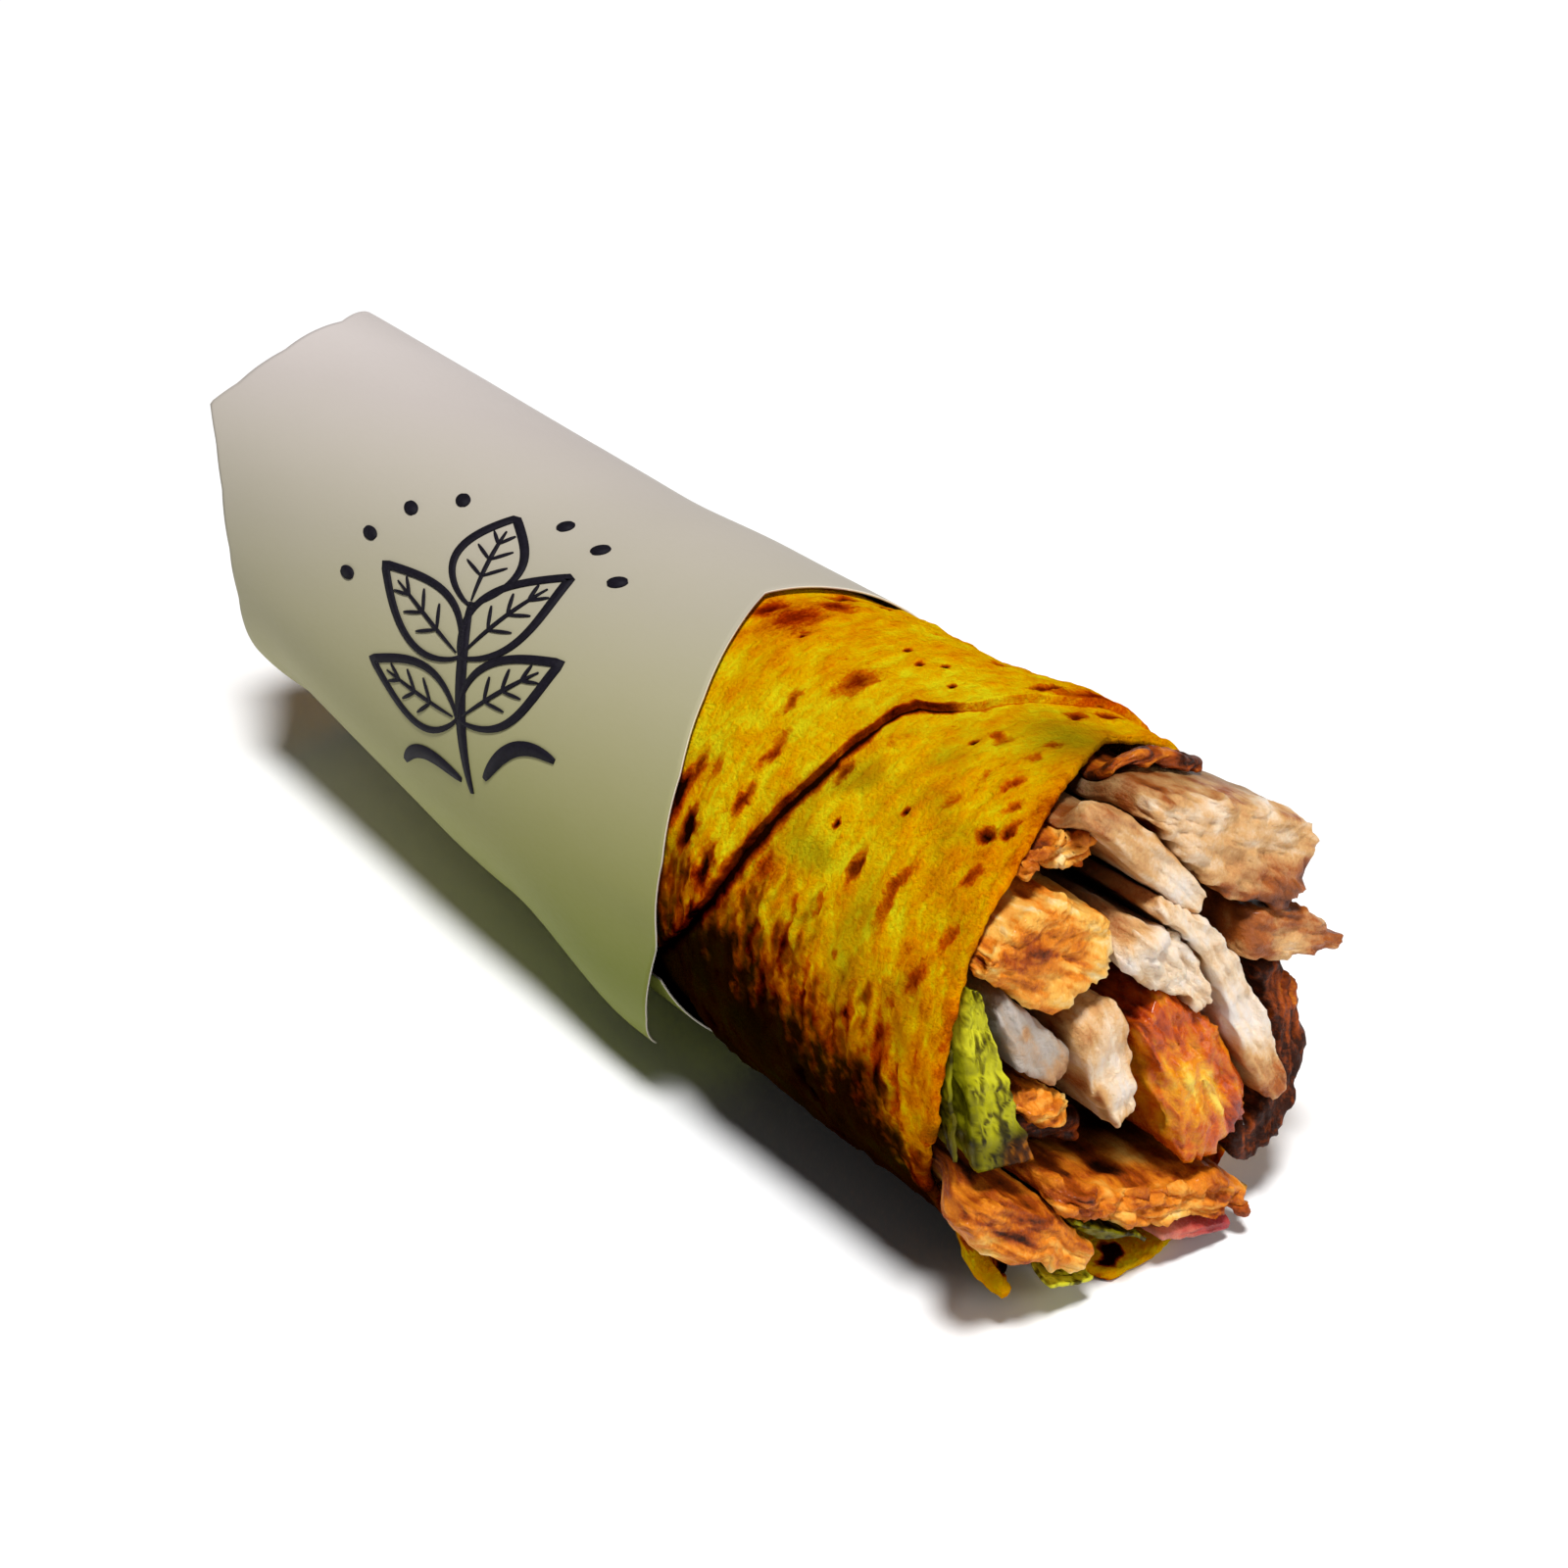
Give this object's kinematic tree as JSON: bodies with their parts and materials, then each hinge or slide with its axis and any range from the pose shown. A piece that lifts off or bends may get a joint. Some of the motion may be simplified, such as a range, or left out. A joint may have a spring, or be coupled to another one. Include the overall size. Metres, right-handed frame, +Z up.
{
  "type": "gyro wrap",
  "caption": "Rolled flatbread wrap in an open tapered paper sleeve, its open end packed with strips of browned and pale chicken, a glazed chunk, lettuce and onion.",
  "frame": {"origin": "on the floor, at the middle of the flat strip under the paper on which the roll rests, near the middle of its length", "axes": "+X along the roll towards its open end, +Z up, -Y towards the side with the paper's free edge"},
  "size_m": [0.2081, 0.0623, 0.0642],
  "materials": {
    "paper": "plain coated wrapping paper, mauve grey shading to olive green",
    "flatbread": "yellow griddled bread with brown spots, slightly oily",
    "chicken_pale": "pale cooked meat",
    "chicken_grey": "smooth grey-white cut meat",
    "chicken_browned": "dark browned meat",
    "chicken_crisp": "orange-brown crisp meat",
    "chicken_glazed": "wet orange-red glaze",
    "onion": "pink pickled onion",
    "lettuce": "moist lime to brown-green leaf"
  },
  "bodies": {
    "root": {"paper_sleeve": "paper", "flatbread": "flatbread", "chicken_slab_top": "chicken_pale", "chicken_strip_pale": "chicken_pale", "chicken_centre": "chicken_pale", "chicken_curl": "chicken_pale", "chicken_pale_low": "chicken_pale", "chicken_grey_slice": "chicken_grey", "chicken_flap_far": "chicken_browned", "chicken_top_browned": "chicken_browned", "chicken_browned_edge": "chicken_browned", "chicken_inner_top": "chicken_browned", "chicken_inner_left": "chicken_browned", "chicken_inner_far": "chicken_browned", "chicken_crisp_bits": "chicken_crisp", "chicken_slab_left": "chicken_crisp", "chicken_ragged_low": "chicken_crisp", "chicken_slab_low": "chicken_crisp", "glazed_chunk": "chicken_glazed", "onion_strip": "onion", "lettuce_near": "lettuce", "lettuce_outer": "lettuce", "lettuce_low": "lettuce", "lettuce_bit_low": "lettuce", "lettuce_far": "lettuce"}
  },
  "joints": []
}
